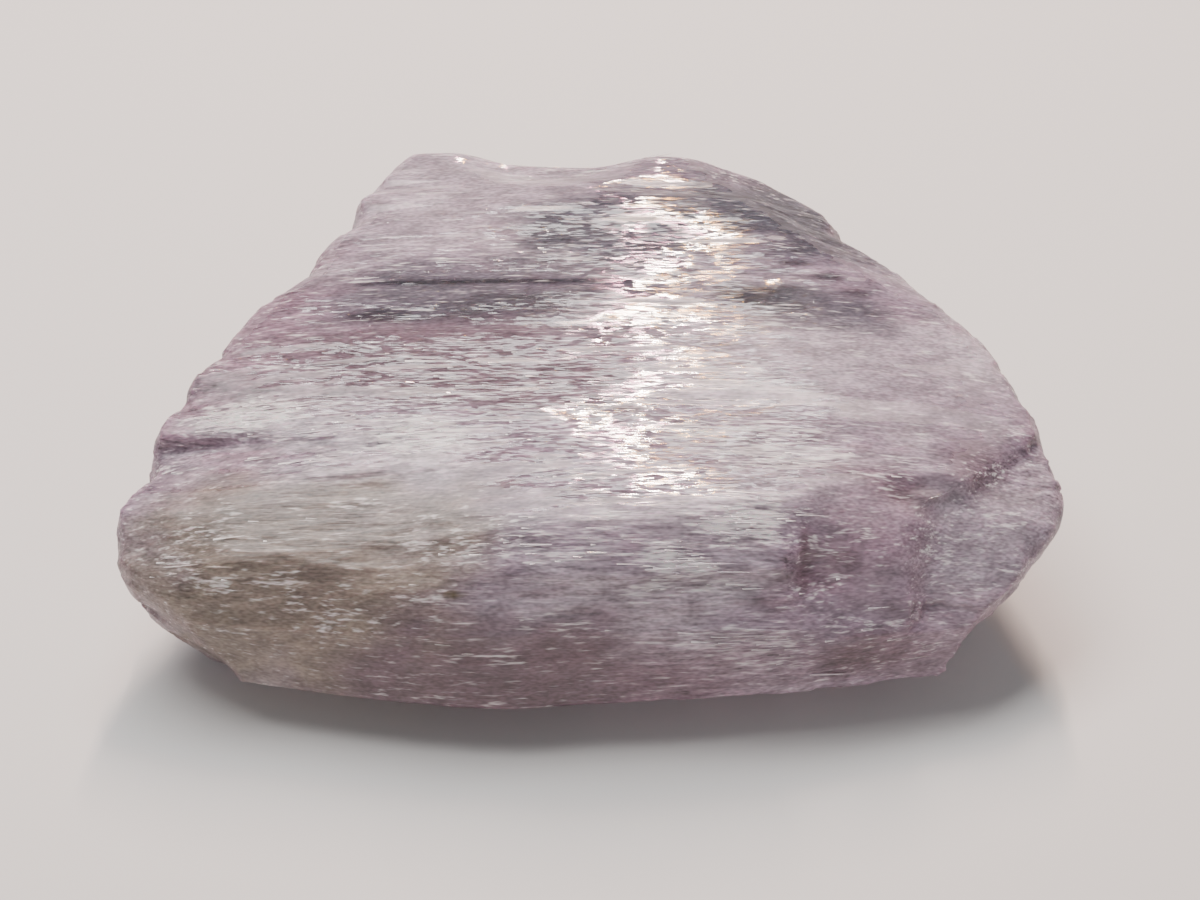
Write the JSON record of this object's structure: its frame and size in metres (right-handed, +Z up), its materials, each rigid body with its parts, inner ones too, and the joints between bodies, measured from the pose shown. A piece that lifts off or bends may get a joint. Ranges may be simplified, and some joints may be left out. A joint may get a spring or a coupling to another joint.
{
  "type": "kunzite crystal",
  "caption": "Rough lilac kunzite crystal fragment: a flattened, striated, cleaved block with broken ends that lies on a flat cleavage face.",
  "frame": {"origin": "centre of the crystal's outline in plan, on the flat cleavage face that it rests on", "axes": "+X along the striations (the crystal's c axis), to the right of the steep front; +Y from the front to the back; +Z up from the face that it rests on"},
  "size_m": [0.034, 0.024, 0.01],
  "materials": {
    "kunzite": "Cloudy, translucent pale lilac crystal with a pearly lustre, fine striations along its length, white cleavage flecks and a warmer, browner lower front."
  },
  "bodies": {
    "root": {"kunzite_crystal": "kunzite"}
  },
  "joints": []
}
